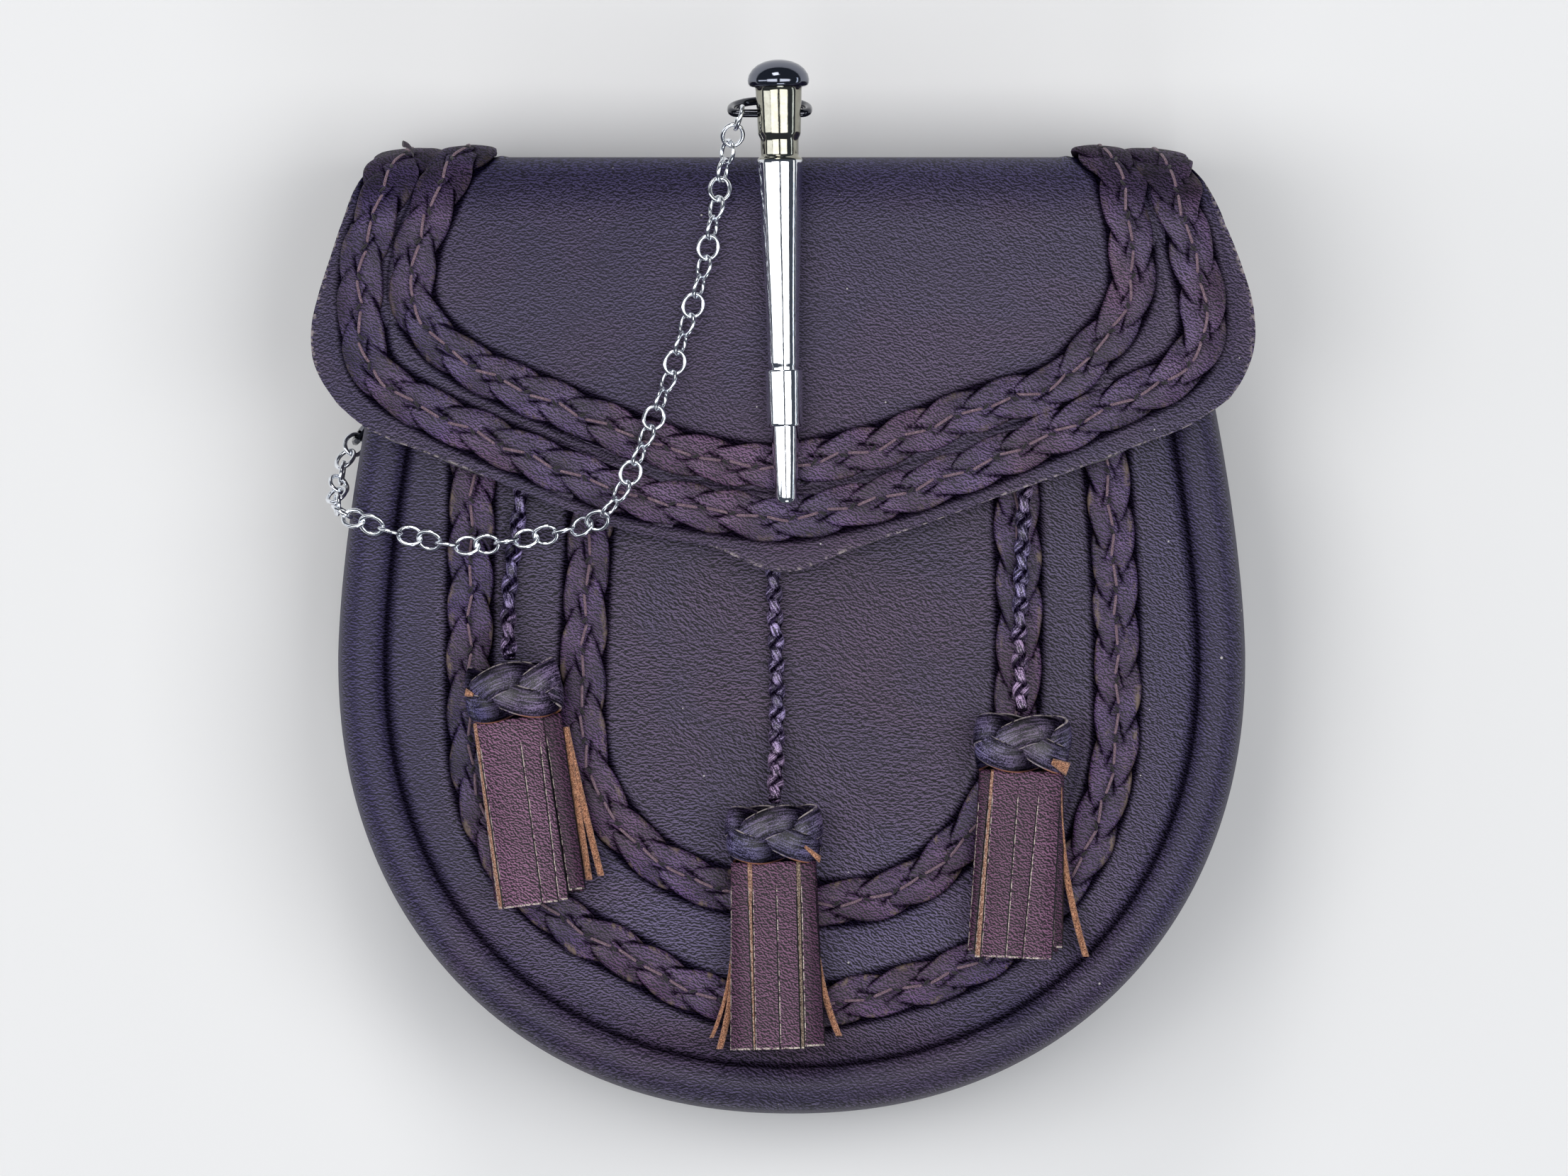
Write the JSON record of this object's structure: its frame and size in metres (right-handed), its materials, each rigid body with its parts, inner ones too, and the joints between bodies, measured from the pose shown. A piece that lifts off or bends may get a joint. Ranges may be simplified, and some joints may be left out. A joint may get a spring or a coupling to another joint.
{
  "type": "sporran pouch",
  "caption": "Dark leather sporran pouch lying on its back: moulded front, pointed flap with raised plaits, three cord tassels, and a chained metal pin through a keeper.",
  "frame": {"origin": "under the middle of the whole, on the surface that its back rests on", "axes": "the front faces +Z, the fold of the flap and the pin's head are towards +Y, and +X is to the right seen from the front"},
  "size_m": [0.1932, 0.2156, 0.0668],
  "materials": {
    "pouch_leather": "semi-matt pebbled grain",
    "flap_leather": "semi-matt pebbled grain",
    "side_leather": "semi-matt",
    "back_leather": "semi-matt",
    "plait_leather": "smooth, lightly worn",
    "cord_leather": "glossy strands",
    "knot_leather": "glossy strands",
    "skirt_leather": "grained, raw suede edges",
    "pin_chrome": "polished",
    "ring_chrome": "polished",
    "chain_chrome": "polished"
  },
  "bodies": {
    "root": {"front_panel": "pouch_leather", "gusset": "side_leather", "back_panel": "back_leather", "flap": "flap_leather", "flap_plait_outer": "plait_leather", "flap_plait_inner": "plait_leather", "front_plait_outer": "plait_leather", "front_plait_inner": "plait_leather", "cord_left": "cord_leather", "cord_centre": "cord_leather", "cord_right": "cord_leather", "knot_left": "knot_leather", "knot_centre": "knot_leather", "knot_right": "knot_leather", "skirt_left": "skirt_leather", "skirt_centre": "skirt_leather", "skirt_right": "skirt_leather", "pin": "pin_chrome", "pin_keeper": "pin_chrome", "head_ring": "ring_chrome", "chain": "chain_chrome", "chain_anchor": "ring_chrome", "belt_loop_left": "back_leather", "belt_loop_right": "back_leather"}
  },
  "joints": []
}
